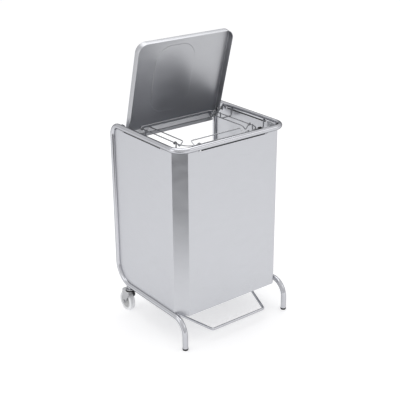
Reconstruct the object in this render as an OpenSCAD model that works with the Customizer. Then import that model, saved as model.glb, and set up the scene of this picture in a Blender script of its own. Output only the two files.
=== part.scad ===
// Linen trolley: tube frame with sheet cladding on three sides, a pedal-opened lid,
// a wire ring with swing-down wires for the bag, two front feet and two rear castors.
// Millimetres. +Z is up, the front faces -Y, and the floor is z = 0.

/* [Frame] */
// distance between the centres of the two side tubes
frame_w = 600; // [590:5:650]
// distance from the front rim tube to the rear vertical tubes, centre to centre
frame_d = 506; // [500:2:530]
// height of the centre of the top tube
rim_z = 937; // [900:1:980]
// height of the centre of the bottom side tubes
base_z = 143; // [141:1:146]
// outside diameter of the frame tube
tube_d = 25; // [25:0.5:26]
// wall thickness of the frame tube
tube_wall = 1.5; // [1.2:0.1:2]
// how far the feet stand in front of the front rim tube
foot_out = 30; // [20:1:34]
// bend radius above the front feet
foot_bend_r = 75; // [65:1:80]
// bend radius at the rear bottom corners
rear_bend_r = 100; // [98:1:104]
// bend radius at the rear top corners
top_bend_r = 50; // [45:1:52]
// bend radius of the two front rim corners
rim_corner_r = 60; // [50:1:70]

/* [Cladding and floor] */
// sheet thickness of the cladding, lid and floor
sheet_t = 1.5; // [1:0.1:2]
// length of each leg of the flat front corner bevels
bevel = 50; // [40:1:55]
// depth of the narrow slots under the top tube
slot_h = 5.5; // [4:0.5:8]
// height of the underside of the bag floor
floor_z = 160; // [160:0.5:162]

/* [Lid] */
// width of the lid
lid_w = 525; // [515:1:526]
// length of the lid from its rear edge to its front edge
lid_l = 474; // [460:1:475]
// depth of the folded edge of the lid
lid_h = 32; // [31:0.5:33]
// corner radius of the lid
lid_r = 45; // [43:1:46]
// angle the lid is turned up from closed
lid_open = 75; // [70:1:75]
// width of the pressed panel in the lid
press_w = 218; // [170:1:230]
// length of the pressed panel in the lid
press_l = 336; // [250:1:340]
// corner radius of the pressed panel
press_r = 80; // [50:1:84]
// how far the middle of the pressed panel lies to the left of the middle of the lid
press_left = 34; // [0:1:40]
// diameter of the lid hinge pins
hinge_pin_d = 10; // [8:0.5:10]

/* [Bag holder] */
// wire diameter of the bag ring and its swing wires
wire_d = 5; // [4:0.5:5]
// half the width of the bag ring
ring_x = 212; // [205:1:214]
// radius of the front corners of the bag ring
ring_r = 60; // [55:1:62]
// radius of its rear corners
ring_rear_r = 18; // [14:1:20]
// how far the side swing wires reach in from the ring
side_reach = 42; // [34:1:44]
// how far the front swing wire reaches in from the ring
front_reach = 62; // [50:1:64]

/* [Pedal] */
// diameter of the pedal rod
pedal_d = 12; // [10:0.5:12]
// half the length of the straight foot bar
pedal_half = 155; // [140:1:165]
// height of the foot bar when pressed
pedal_z = 60; // [58:1:62]

/* [Castors] */
// wheel diameter
wheel_d = 100; // [98:0.5:100]
// tyre width
tyre_w = 30; // [26:1:30]
// distance from the swivel axis to the wheel axle
trail = 30; // [26:1:32]
// direction the left wheel trails in, from +X toward +Y; the right one mirrors it
castor_dir = 88; // [60:1:120]

/* [Hidden] */
$fn = 64;
tube_r = tube_d / 2;
fit = 0.06;
overall_d = frame_d + 65;
rear_y = overall_d / 2 - tube_r;
front_y = rear_y - frame_d;
foot_y = front_y - foot_out;
hw = frame_w / 2;
st = sheet_t;
hs = st / 2;
miter = tan(22.5);
under_rim = rim_z - tube_r;
cap_h = 9;
cap_floor = 4;
// slots under the top tube: start and end of the side slots, half the length of the front one
slot_low = under_rim - slot_h;
slot_front = front_y + 123;
slot_back = rear_y - 87;
slot_half = hw - 113;
// lid, measured closed
pivot_y = rear_y - 65;
pivot_z = rim_z - 18;
lid_top = rim_z;
lid_back = pivot_y + 50;
lid_front = lid_back - lid_l;
lid_x = lid_w / 2;
press_depth = 3;
press_y = lid_back - 264;
pin_r = hinge_pin_d / 2;
lug_t = 5;
lug_x = hw - tube_r - lug_t;
// bag ring
wr = wire_d / 2;
ring_z = rim_z - 13;
ring_front = front_y + 63;
ring_back = rear_y - 81;
eye_wire = wr + 0.2;
eye_r = wr + eye_wire + 0.4;
bead_r = wr + 0.15;
side_dip = 22;
front_dip = 17;
arm_front = front_y + 143;
arm_back = rear_y - 105;
strut_r = 3;
strut_z = rim_z - 40;
strut_y = [front_y + 129, rear_y - 143];
// pedal and pull rod
pr = pedal_d / 2;
pedal_y = -overall_d / 2 + pr;
shaft_y = rear_y - 48;
shaft_z = 120;
shaft_r = 10;
beam_z = base_z + rear_bend_r - sqrt(pow(rear_bend_r, 2) - pow(shaft_y - rear_y + rear_bend_r, 2));
pedal_tilt = atan((shaft_z - pedal_z) / (shaft_y - pedal_y));
pedal_len = sqrt(pow(shaft_z - pedal_z, 2) + pow(shaft_y - pedal_y, 2));
arm_x = 232;
splay = 19;
toe_r = 14;
knee_r = 40;
link_y = shaft_y - 180;
link_z = pedal_z + (link_y - pedal_y) * tan(pedal_tilt);
link_x = arm_x + 12;
floor_back = rear_y - rear_bend_r + 7;
notch_front = link_y - 5;
notch_back = link_y + 34;
hook_r = 24;
hook_y = pivot_y + hook_r * cos(lid_open);
hook_z = pivot_z - hook_r * sin(lid_open);
rod_lean = atan((hook_y - link_y) / (hook_z - link_z)) + 0.18;
rod_len = sqrt(pow(hook_y - link_y, 2) + pow(hook_z - link_z, 2)) - 0.75;
rod_r = 2.5;
top_eye = 8.7;
low_eye = 5.9;
// castors
wr_d = wheel_d / 2;
castor_y = rear_y - 93;
crown_z = 112;
crown_t = 4;
race_z = 122.4;
socket_z = 125.4;
leg_in = tyre_w / 2 + 3;
leg_t = 2.5;

steel = [0.80, 0.81, 0.83];
satin = [0.70, 0.71, 0.73];
black = [0.10, 0.10, 0.11];
grey = [0.80, 0.80, 0.79];

// helpers ------------------------------------------------------------------

// draws in a plane of Y (local x) and Z (local y), thickness toward +X
module yz(x, y, z) {
    translate([x, y, z]) rotate([90, 0, 90]) children();
}

// draws in a plane of X (local x) and Z (local y)
module xz(x, y, z) {
    translate([x, y, z]) rotate([90, 0, 0]) children();
}

module pipe_section() {
    difference() {
        circle(r = tube_r);
        circle(r = tube_r - tube_wall);
    }
}

module pipe(len) {
    linear_extrude(len) pipe_section();
}

module pipe_bend(r, a0) {
    rotate([0, 0, a0]) rotate_extrude(angle = 90) translate([r, 0]) pipe_section();
}

module wire_bend(r, w, a0, da) {
    rotate([0, 0, a0]) rotate_extrude(angle = da) translate([r, 0]) circle(r = w);
}

// round bar between two points
module bar(a, b, r) {
    d = b - a;
    l = norm(d);
    translate(a) rotate([0, acos(d[2] / l), atan2(d[1], d[0])]) cylinder(r = r, h = l);
}

module knuckle(p, r) {
    translate(p) sphere(r = r);
}

// a disc or pin along X from x0 to x1
module x_pin(x0, x1, y, z, r) {
    translate([x0, y, z]) rotate([0, 90, 0]) cylinder(r = r, h = x1 - x0);
}

module sided(s) {
    if (s > 0) children();
    else mirror([1, 0, 0]) children();
}

// frame --------------------------------------------------------------------

module rim_tube() {
    color(steel) {
        translate([-hw + rim_corner_r, front_y + rim_corner_r, rim_z]) pipe_bend(rim_corner_r, 180);
        translate([-hw + rim_corner_r, front_y, rim_z]) rotate([0, 90, 0]) pipe(2 * (hw - rim_corner_r));
        translate([hw - rim_corner_r, front_y + rim_corner_r, rim_z]) pipe_bend(rim_corner_r, 270);
    }
}

module side_tube(s) {
    x = s * hw;
    color(steel) {
        translate([x, foot_y, cap_floor]) pipe(base_z - foot_bend_r - cap_floor);
        yz(x, foot_y + foot_bend_r, base_z - foot_bend_r) pipe_bend(foot_bend_r, 90);
        translate([x, foot_y + foot_bend_r, base_z]) rotate([-90, 0, 0])
            pipe(rear_y - rear_bend_r - foot_y - foot_bend_r);
        yz(x, rear_y - rear_bend_r, base_z + rear_bend_r) pipe_bend(rear_bend_r, -90);
        translate([x, rear_y, base_z + rear_bend_r]) pipe(rim_z - top_bend_r - base_z - rear_bend_r);
        yz(x, rear_y - top_bend_r, rim_z - top_bend_r) pipe_bend(top_bend_r, 0);
        translate([x, front_y + rim_corner_r, rim_z]) rotate([-90, 0, 0])
            pipe(rear_y - top_bend_r - front_y - rim_corner_r);
    }
}

module side_tube_left() {
    side_tube(-1);
}

module side_tube_right() {
    side_tube(1);
}

module foot_cap(s) {
    color(black) translate([s * hw, foot_y, 0]) difference() {
        union() {
            cylinder(r = tube_r + 0.5, h = 1);
            translate([0, 0, 1]) cylinder(r = tube_r + 1, h = cap_h - 1);
        }
        translate([0, 0, cap_floor]) cylinder(r = tube_r, h = cap_h);
    }
}

module foot_cap_left() {
    foot_cap(-1);
}

module foot_cap_right() {
    foot_cap(1);
}

// plan outline of the cladding, moved out by e from the middle of the sheet
function clad_outline(e, back) = [
    [-hw - e, back], [-hw - e, front_y + bevel - e * miter], [-hw + bevel - e * miter, front_y - e],
    [hw - bevel + e * miter, front_y - e], [hw + e, front_y + bevel - e * miter], [hw + e, back]];

// side outline of the cladding, following the inner edge of the side tube
module clad_side() {
    low = base_z + tube_r;
    in_r = rear_bend_r - tube_r;
    up_r = top_bend_r - tube_r;
    b = front_y + bevel;
    past_tube = b - tube_r - 2;
    translate([front_y - 5, base_z + 2]) square([past_tube - front_y + 5, under_rim - base_z - 2]);
    translate([past_tube, low]) square([rear_y - rear_bend_r - past_tube, under_rim - low]);
    above = base_z + rear_bend_r;
    translate([b, above]) square([rear_y - tube_r - b, rim_z - top_bend_r - above]);
    translate([b, above]) square([rear_y - top_bend_r - b, under_rim - above]);
    translate([rear_y - rear_bend_r, base_z + rear_bend_r]) circle(r = in_r);
    translate([rear_y - top_bend_r, rim_z - top_bend_r]) circle(r = up_r);
}

module cladding() {
    color(satin) difference() {
        intersection() {
            translate([0, 0, base_z - 5]) linear_extrude(rim_z - base_z) difference() {
                polygon(clad_outline(hs, rear_y));
                polygon(clad_outline(-hs, rear_y + 1));
            }
            yz(-hw - 5, 0, 0) linear_extrude(frame_w + 10) clad_side();
        }
        translate([-hw - 5, slot_front, slot_low]) cube([frame_w + 10, slot_back - slot_front, slot_h + 5]);
        translate([-slot_half, front_y - 5, slot_low]) cube([2 * slot_half, 10, slot_h + 5]);
    }
}

// black strips that fill the slots, but for a short way at each end
module rim_seals() {
    clear = 8;
    wide = 3;
    tall = slot_h - 0.1;
    long = slot_back - slot_front - 2 * clear;
    half = slot_half - clear;
    color(black) {
        for (s = [-1, 1]) {
            translate([s * hw - wide / 2, slot_front + clear, slot_low]) cube([wide, long, tall]);
        }
        translate([-half, front_y - wide / 2, slot_low]) cube([2 * half, wide, tall]);
    }
}

module weld_tabs() {
    z = under_rim - 4.2;
    color(steel) {
        for (s = [-1, 1]) {
            for (y = [slot_front - 4, slot_back + 4]) {
                sided(s) x_pin(hw + hs, hw + hs + st, y, z, 4);
            }
            translate([s * (slot_half + 4), front_y - hs, z]) rotate([90, 0, 0]) cylinder(r = 4, h = st);
        }
    }
}

// the floor is three sheets: the middle one stops short, so that the pull rod can pass it
module floor_sheet(y0, y1, x1) {
    e = -hs - 1;
    translate([0, 0, floor_z]) linear_extrude(st) intersection() {
        polygon(clad_outline(e, floor_back));
        translate([-hw, y0]) square([hw + x1, y1 - y0]);
    }
}

module floor_front() {
    color(satin) floor_sheet(front_y, notch_front, hw);
}

module floor_middle() {
    color(satin) floor_sheet(notch_front, notch_back, arm_x);
}

module floor_rear() {
    color(satin) {
        floor_sheet(notch_back, floor_back, hw);
        translate([-hw + 20, floor_back - st, floor_z]) cube([frame_w - 40, st, 14]);
    }
}

module cross_tube(y, z, r) {
    half = hw - tube_r;
    color(steel) difference() {
        x_pin(-half, half, y, z, r);
        x_pin(-half - 1, half + 1, y, z, r - tube_wall);
    }
}

module cross_tube_front() {
    cross_tube(front_y + 83, floor_z - 8, 8);
}

module cross_tube_mid() {
    cross_tube(rear_y - 173, floor_z - 8, 8);
}

module cross_tube_rear() {
    cross_tube(shaft_y, beam_z, 10);
}

module lid_lug(s) {
    color(steel) sided(s) difference() {
        union() {
            x_pin(lug_x, lug_x + lug_t, pivot_y, pivot_z, 13);
            translate([lug_x, pivot_y - 13, pivot_z]) cube([lug_t, 26, 27]);
        }
        x_pin(lug_x - 1, lug_x + lug_t + 1, pivot_y, pivot_z, pin_r);
    }
}

module lid_lug_left() {
    lid_lug(-1);
}

module lid_lug_right() {
    lid_lug(1);
}

module lid_pin(s) {
    color(steel) sided(s) {
        x_pin(lid_x - 3, lug_x + lug_t, pivot_y, pivot_z, pin_r);
        x_pin(lid_x - 6, lid_x - 3, pivot_y, pivot_z, pin_r + 3);
    }
}

module lid_pin_left() {
    lid_pin(-1);
}

module lid_pin_right() {
    lid_pin(1);
}

// bag holder ---------------------------------------------------------------

module bag_ring() {
    a = ring_x - ring_r;
    b = ring_x - ring_rear_r;
    color(steel) {
        for (s = [-1, 1]) {
            x = s * ring_x;
            bar([x, ring_front + ring_r, ring_z], [x, ring_back - ring_rear_r, ring_z], wr);
        }
        bar([-a, ring_front, ring_z], [a, ring_front, ring_z], wr);
        bar([-b, ring_back, ring_z], [b, ring_back, ring_z], wr);
        translate([b, ring_back - ring_rear_r, ring_z]) wire_bend(ring_rear_r, wr, 0, 90);
        translate([-b, ring_back - ring_rear_r, ring_z]) wire_bend(ring_rear_r, wr, 90, 90);
        translate([-a, ring_front + ring_r, ring_z]) wire_bend(ring_r, wr, 180, 90);
        translate([a, ring_front + ring_r, ring_z]) wire_bend(ring_r, wr, 270, 90);
    }
}

// U-shaped wire that carries the ring from the top tube, passing under the edge of the lid
module ring_strut(s, y) {
    xi = ring_x + wr + strut_r;
    xo = hw - tube_r - strut_r;
    b = 8;
    color(steel) sided(s) {
        bar([xi, y, ring_z + wr], [xi, y, strut_z + b], strut_r);
        bar([xi + b, y, strut_z], [xo - b, y, strut_z], strut_r);
        bar([xo, y, strut_z + b], [xo, y, rim_z + 4], strut_r);
        xz(xi + b, y, strut_z + b) wire_bend(b, strut_r, 180, 90);
        xz(xo - b, y, strut_z + b) wire_bend(b, strut_r, 270, 90);
    }
}

module ring_strut_front_left() {
    ring_strut(-1, strut_y[0]);
}

module ring_strut_front_right() {
    ring_strut(1, strut_y[0]);
}

module ring_strut_rear_left() {
    ring_strut(-1, strut_y[1]);
}

module ring_strut_rear_right() {
    ring_strut(1, strut_y[1]);
}

module lid_buffer(s) {
    x = lid_x - 8;
    r = lid_top - lid_h - 0.4 - strut_z;
    color(black) sided(s) difference() {
        x_pin(x, x + 15, strut_y[0], strut_z, r);
        x_pin(x - 1, x + 16, strut_y[0], strut_z, strut_r);
    }
}

module lid_buffer_left() {
    lid_buffer(-1);
}

module lid_buffer_right() {
    lid_buffer(1);
}

// one dipped arm of a swing wire: u is the reach, drawn in X (toward +X) and Z around the ring wire
module dipped_arm(reach, dip) {
    k = eye_r * sqrt(0.5);
    m = reach * 0.55;
    rotate([90, 0, 0]) wire_bend(eye_r, eye_wire, 0, 360);
    bar([k, 0, -k], [m, 0, -dip], wr);
    knuckle([m, 0, -dip], bead_r);
    bar([m, 0, -dip], [reach, 0, 0], wr);
    knuckle([reach, 0, 0], bead_r);
}

module swing_wire(reach, half, dip) {
    for (y = [-half, half]) {
        translate([0, y, 0]) dipped_arm(reach, dip);
    }
    bar([reach, -half, 0], [reach, half, 0], wr);
}

module swing_wire_side(s) {
    mid = (arm_front + arm_back) / 2;
    half = (arm_back - arm_front) / 2;
    color(steel) sided(s) translate([ring_x, mid, ring_z]) mirror([1, 0, 0])
        swing_wire(side_reach, half, side_dip);
}

module swing_wire_left() {
    swing_wire_side(-1);
}

module swing_wire_right() {
    swing_wire_side(1);
}

module swing_wire_front() {
    color(steel) translate([0, ring_front, ring_z]) rotate([0, 0, 90])
        swing_wire(front_reach, ring_x - ring_r - 12, front_dip);
}

// lid, drawn closed and turned up about the hinge pins ------------------------

module opened() {
    translate([0, pivot_y, pivot_z]) rotate([-lid_open, 0, 0])
        translate([0, -pivot_y, -pivot_z]) children();
}

module rounded(w, l, r) {
    union() {
        square([w - 2 * r, l], center = true);
        square([w, l - 2 * r], center = true);
        for (x = [-1, 1], y = [-1, 1]) {
            translate([x * (w / 2 - r), y * (l / 2 - r)]) circle(r = r);
        }
    }
}

// flat top sheet with the pressed panel standing out below it
module lid_panel() {
    mid = (lid_back + lid_front) / 2;
    color(steel) opened() difference() {
        union() {
            translate([0, mid, lid_top - st]) linear_extrude(st) rounded(lid_w, lid_l, lid_r);
            translate([-press_left, press_y, lid_top - st - press_depth])
                linear_extrude(press_depth + st / 2) rounded(press_w, press_l, press_r);
        }
        translate([-press_left, press_y, lid_top - press_depth]) linear_extrude(press_depth + 1)
            rounded(press_w - 2 * st, press_l - 2 * st, press_r - st);
    }
}

// folded edge of the lid, holed for the hinge bushes and notched for the pull rod
module lid_edge() {
    mid = (lid_back + lid_front) / 2;
    low = lid_top - lid_h;
    color(steel) opened() difference() {
        translate([0, mid, low]) linear_extrude(lid_h - st) difference() {
            rounded(lid_w, lid_l, lid_r);
            rounded(lid_w - 2 * st, lid_l - 2 * st, lid_r - st);
        }
        x_pin(-lid_x - 1, lid_x + 1, pivot_y, pivot_z, pin_r + 3);
        translate([link_x - 8, lid_back - 22, low - 1]) cube([16, 24, 15]);
    }
}

// closed triangular rail inside the rear edge of the lid
module lid_stiffener() {
    z = lid_top - st;
    y0 = lid_back - 24;
    y1 = lid_back - 4;
    drop = 7;
    k = drop / (y1 - y0);
    w = 1.2;
    e = w * sqrt(1 + k * k);
    color(satin) opened() yz(-arm_x + 2, 0, 0) linear_extrude(2 * arm_x - 4) difference() {
        polygon([[y0, z], [y1, z], [y1, z - drop]]);
        polygon([[y0 + (w + e) / k, z - w], [y1 - w, z - w], [y1 - w, z - drop + e + w * k]]);
    }
}

module lid_bush(s) {
    color(grey) opened() sided(s) difference() {
        union() {
            x_pin(lid_x - st - 1, lug_x - 1.5, pivot_y, pivot_z, pin_r + 3);
            x_pin(lid_x, lid_x + 8, pivot_y, pivot_z, pin_r + 7);
        }
        x_pin(lid_x - 10, lug_x, pivot_y, pivot_z, pin_r + fit);
    }
}

module lid_bush_left() {
    lid_bush(-1);
}

module lid_bush_right() {
    lid_bush(1);
}

module rod_lug() {
    x = link_x - 8.5;
    color(steel) opened() difference() {
        union() {
            x_pin(x, x + 3, pivot_y + hook_r, pivot_z, 8);
            translate([x, pivot_y + hook_r - 8, pivot_z]) cube([3, 16, lid_top - st - pivot_z]);
        }
        x_pin(x - 1, x + 4, pivot_y + hook_r, pivot_z, 3);
    }
}

module hook_pin() {
    color(steel) opened() {
        x_pin(link_x - 8.5, link_x + 3.5, pivot_y + hook_r, pivot_z, 3);
        x_pin(link_x + 3.5, link_x + 5.5, pivot_y + hook_r, pivot_z, 5);
    }
}

// pedal and pull rod -----------------------------------------------------------

// half of the loop in its own plane: x outward, y back along the slope
// each straight meets its bend inside a short weld collar, with a hair gap between the two ends
module pedal_half_loop() {
    gap = 0.2;
    toe_cut = toe_r * tan((90 - splay) / 2);
    knee_cut = knee_r * tan(splay / 2);
    knee_y = (arm_x - pedal_half) / tan(splay);
    slant = [sin(splay), cos(splay), 0];
    toe_in = [pedal_half - toe_cut, 0, 0];
    toe_out = [pedal_half, 0, 0] + toe_cut * slant;
    knee_in = [arm_x, knee_y, 0] - knee_cut * slant;
    knee_out = [arm_x, knee_y + knee_cut, 0];
    weld_collar(toe_in, [1, 0, 0]);
    translate([toe_in[0], toe_r, 0]) wire_bend(toe_r, pr, -89.5, 89 - splay);
    weld_collar(toe_out, slant);
    bar(toe_out + gap * slant, knee_in - gap * slant, pr);
    weld_collar(knee_in, slant);
    translate([arm_x - knee_r, knee_out[1], 0]) wire_bend(knee_r, pr, 0.3 - splay, splay - 0.6);
    weld_collar(knee_out, [0, 1, 0]);
    bar(knee_out + [0, gap, 0], [arm_x, pedal_len, 0], pr);
}

// a ring of weld on the pedal bar, centred on a joint and lying along dir
module weld_collar(at, dir) {
    half_len = 2;
    bar(at - half_len * dir, at + half_len * dir, pr + 0.4);
}

module pedal_loop() {
    foot_bar = pedal_half - toe_r * tan((90 - splay) / 2) - 0.2;
    color(steel) difference() {
        translate([0, pedal_y, pedal_z]) rotate([pedal_tilt, 0, 0]) {
            x_pin(-foot_bar, foot_bar, 0, 0, pr);
            pedal_half_loop();
            mirror([1, 0, 0]) pedal_half_loop();
        }
        x_pin(-arm_x - 20, arm_x + 20, shaft_y, shaft_z, shaft_r);
        x_pin(arm_x - 4, arm_x + 20, link_y, link_z, 3);
    }
}

module pedal_bush(s) {
    color(steel) sided(s) difference() {
        x_pin(arm_x - 7, arm_x + 7, shaft_y, shaft_z, shaft_r);
        x_pin(arm_x - 8, arm_x + 8, shaft_y, shaft_z, 5 + fit);
    }
}

module pedal_bush_left() {
    pedal_bush(-1);
}

module pedal_bush_right() {
    pedal_bush(1);
}

module pedal_lug(s) {
    color(steel) sided(s) difference() {
        union() {
            x_pin(arm_x + 8.5, arm_x + 12.5, shaft_y, shaft_z, 13);
            translate([arm_x + 8.5, shaft_y - 13, shaft_z]) cube([4, 26, beam_z - shaft_z]);
        }
        x_pin(arm_x, arm_x + 20, shaft_y, beam_z, 10);
        x_pin(arm_x, arm_x + 20, shaft_y, shaft_z, 5);
    }
}

module pedal_lug_left() {
    pedal_lug(-1);
}

module pedal_lug_right() {
    pedal_lug(1);
}

module pedal_pin(s) {
    color(steel) sided(s) {
        x_pin(arm_x - 8, arm_x + 12.5, shaft_y, shaft_z, 5);
        x_pin(arm_x - 11, arm_x - 8, shaft_y, shaft_z, 8);
    }
}

module pedal_pin_left() {
    pedal_pin(-1);
}

module pedal_pin_right() {
    pedal_pin(1);
}

module rod_pin() {
    color(steel) {
        x_pin(arm_x - 4, link_x + 3.5, link_y, link_z, 3);
        x_pin(link_x + 3.5, link_x + 5.5, link_y, link_z, 5);
    }
}

module pull_rod() {
    color(steel) translate([link_x, link_y, link_z]) rotate([-rod_lean, 0, 0]) {
        rotate([0, 90, 0]) wire_bend(low_eye, rod_r, 0, 360);
        translate([0, 0, low_eye]) cylinder(r = rod_r, h = rod_len - low_eye - top_eye);
        translate([0, 0, rod_len]) rotate([0, 90, 0]) wire_bend(top_eye, rod_r, 0, 360);
    }
}

// castors, drawn trailing toward +X ----------------------------------------------

module at_castor(s) {
    dir = s < 0 ? castor_dir : 180 - castor_dir;
    translate([s * hw, castor_y, 0]) rotate([0, 0, dir]) children();
}

// on the wheel axle: local x and y in the wheel plane, local z along the axle
module on_axle(s) {
    at_castor(s) translate([trail, 0, wr_d]) rotate([90, 0, 0]) children();
}

module castor_socket(s) {
    x = s * hw;
    color(steel) difference() {
        translate([x, castor_y, socket_z]) cylinder(r = 11, h = base_z - socket_z);
        translate([x, castor_y - 30, base_z]) rotate([-90, 0, 0])
            cylinder(r = tube_r, h = 30 + rear_y - rear_bend_r - castor_y);
        yz(x, rear_y - rear_bend_r, base_z + rear_bend_r) wire_bend(rear_bend_r, tube_r, -90, 20);
    }
}

module castor_socket_left() {
    castor_socket(-1);
}

module castor_socket_right() {
    castor_socket(1);
}

module castor_stud(s) {
    color(steel) translate([s * hw, castor_y, 0]) {
        translate([0, 0, race_z]) cylinder(r = 20, h = socket_z - race_z);
        translate([0, 0, crown_z + crown_t + 0.4]) cylinder(r = 8, h = race_z - crown_z - crown_t - 0.4);
        translate([0, 0, crown_z - 4]) cylinder(r = 5, h = crown_t + 4.4);
        translate([0, 0, crown_z - 4]) cylinder(r = 8.5, h = 3.6, $fn = 6);
    }
}

module castor_stud_left() {
    castor_stud(-1);
}

module castor_stud_right() {
    castor_stud(1);
}

module fork(s) {
    out = leg_in + leg_t;
    color(steel) at_castor(s) difference() {
        union() {
            translate([0, 0, crown_z]) cylinder(r = 24, h = crown_t);
            translate([0, -out, crown_z]) cube([44, 2 * out, crown_t]);
            for (y = [-out, leg_in]) {
                top = crown_z + crown_t;
                translate([0, y + leg_t, 0]) rotate([90, 0, 0]) linear_extrude(leg_t) difference() {
                    union() {
                        polygon([[-12, top], [44, top], [44, 90], [trail + 12, wr_d],
                            [trail - 12, wr_d], [-12, 96]]);
                        translate([trail, wr_d]) circle(r = 12);
                    }
                    translate([trail, wr_d]) circle(r = 4);
                }
            }
        }
        translate([0, 0, crown_z - 1]) cylinder(r = 5 + fit, h = crown_t + 2);
    }
}

module fork_left() {
    fork(-1);
}

module fork_right() {
    fork(1);
}

module dust_cap(s) {
    z = crown_z + crown_t;
    color(black) at_castor(s) difference() {
        union() {
            translate([0, 0, z]) cylinder(r = 23, h = race_z - 0.4 - z);
            translate([0, 6, 0]) rotate([90, 0, 0]) linear_extrude(12)
                polygon([[-16, z + 5.5], [-30, z + 3], [-36, z - 12], [-33, z - 14], [-25.5, z], [-16, z]]);
        }
        translate([0, 0, z - 1]) cylinder(r = 8.6, h = 20);
    }
}

module dust_cap_left() {
    dust_cap(-1);
}

module dust_cap_right() {
    dust_cap(1);
}

module axle(s) {
    w = leg_in + leg_t;
    color(steel) on_axle(s) {
        translate([0, 0, -w]) cylinder(r = 4, h = 2 * w);
        translate([0, 0, w]) cylinder(r = 7, h = 3);
        translate([0, 0, -w - 5]) cylinder(r = 7.5, h = 5, $fn = 6);
    }
}

module axle_left() {
    axle(-1);
}

module axle_right() {
    axle(1);
}

module hub(s) {
    t = tyre_w / 2;
    r = wr_d - 14;
    color(satin) on_axle(s) rotate_extrude() polygon([
        [4 + fit, -t - 2], [9, -t - 2], [9, -8], [r - 6, -6], [r - 6, 3 - t], [r, 3 - t],
        [r, t - 3], [r - 6, t - 3], [r - 6, 6], [9, 8], [9, t + 2], [4 + fit, t + 2]]);
}

module hub_left() {
    hub(-1);
}

module hub_right() {
    hub(1);
}

module tyre(s) {
    t = tyre_w / 2;
    r = wr_d - 14;
    color(grey) on_axle(s) rotate_extrude() {
        translate([r, 3 - t]) square([10, 2 * t - 6]);
        translate([r + 4, -t]) square([6, 2 * t]);
        translate([r + 10, 4 - t]) square([4, 2 * t - 8]);
        translate([r + 10, 4 - t]) circle(r = 4);
        translate([r + 10, t - 4]) circle(r = 4);
    }
}

module tyre_left() {
    tyre(-1);
}

module tyre_right() {
    tyre(1);
}

rim_tube();
side_tube_left();
side_tube_right();
foot_cap_left();
foot_cap_right();
cladding();
rim_seals();
weld_tabs();
floor_front();
floor_middle();
floor_rear();
cross_tube_front();
cross_tube_mid();
cross_tube_rear();
lid_lug_left();
lid_lug_right();
lid_pin_left();
lid_pin_right();
bag_ring();
ring_strut_front_left();
ring_strut_front_right();
ring_strut_rear_left();
ring_strut_rear_right();
lid_buffer_left();
lid_buffer_right();
pedal_lug_left();
pedal_lug_right();
pedal_pin_left();
pedal_pin_right();
castor_socket_left();
castor_socket_right();
castor_stud_left();
castor_stud_right();
lid_panel();
lid_edge();
lid_stiffener();
lid_bush_left();
lid_bush_right();
rod_lug();
hook_pin();
swing_wire_left();
swing_wire_right();
swing_wire_front();
pedal_loop();
pedal_bush_left();
pedal_bush_right();
rod_pin();
pull_rod();
fork_left();
fork_right();
dust_cap_left();
dust_cap_right();
axle_left();
axle_right();
hub_left();
hub_right();
tyre_left();
tyre_right();
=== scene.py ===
"""Linen trolley: smooth metal, wire and rubber pieces with their materials, built round the CAD frame.

Meshes are worked out in millimetres and scaled to metres in piece(). +Z is up and the front faces -Y.
A shape is (points, faces, grain): grain gives each point a place on the unrolled metal, first number
along the brushing, so that the brushing follows bends and corners.
"""

import math

import bmesh
import bpy
from mathutils import Matrix, Vector
from mathutils.geometry import tessellate_polygon


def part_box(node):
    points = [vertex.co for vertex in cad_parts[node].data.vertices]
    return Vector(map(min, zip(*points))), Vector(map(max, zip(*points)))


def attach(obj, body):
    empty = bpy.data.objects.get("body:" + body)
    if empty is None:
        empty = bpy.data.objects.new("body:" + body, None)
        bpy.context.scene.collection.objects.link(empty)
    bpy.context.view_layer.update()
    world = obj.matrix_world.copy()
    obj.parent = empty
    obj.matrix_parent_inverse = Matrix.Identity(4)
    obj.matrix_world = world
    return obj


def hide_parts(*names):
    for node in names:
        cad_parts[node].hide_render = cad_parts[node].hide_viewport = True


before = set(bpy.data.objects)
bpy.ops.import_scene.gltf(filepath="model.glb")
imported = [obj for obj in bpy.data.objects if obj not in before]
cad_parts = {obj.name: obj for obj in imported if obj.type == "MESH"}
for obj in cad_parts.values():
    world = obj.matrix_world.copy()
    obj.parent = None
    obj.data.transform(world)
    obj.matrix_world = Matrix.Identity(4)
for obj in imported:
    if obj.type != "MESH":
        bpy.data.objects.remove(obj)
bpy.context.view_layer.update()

MM = 0.001
SAME = 0.01  # millimetres, within which two places count as one


def box_mm(node):
    """Lowest and highest corner of a CAD node, in millimetres."""
    low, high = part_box(node)
    return low / MM, high / MM


# sizes read from the frame ----------------------------------------------------
tube_low, tube_high = box_mm("side_tube_left")
TUBE_R = (tube_high.x - tube_low.x) / 2
HALF_W = -(tube_low.x + tube_high.x) / 2
FOOT_Y = tube_low.y + TUBE_R
REAR_Y = tube_high.y - TUBE_R
RIM_Z = tube_high.z - TUBE_R
FRONT_Y = box_mm("rim_tube")[0].y + TUBE_R
CAP_FLOOR = tube_low.z
UNDER_RIM = RIM_Z - TUBE_R
CAP_R = (box_mm("foot_cap_left")[1].x - box_mm("foot_cap_left")[0].x) / 2
CAP_H = box_mm("foot_cap_left")[1].z

# sizes that the boxes don't show, as in the CAD --------------------------------
BASE_Z = 143  # centre of the side tube where it runs along the bottom
FOOT_BEND, REAR_BEND, TOP_BEND, RIM_CORNER = 75, 100, 50, 60
SHEET = 1.5
BEVEL = 50  # how far the front bevels reach along the front and the sides
SLOT_H, SLOT_EASE = 5.5, 1.5  # height of the slots, and how far their ends slope
SLOT_FRONT, SLOT_BACK, SLOT_HALF = FRONT_Y + 123, REAR_Y - 87, HALF_W - 113
FLOOR_Z = 160

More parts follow.
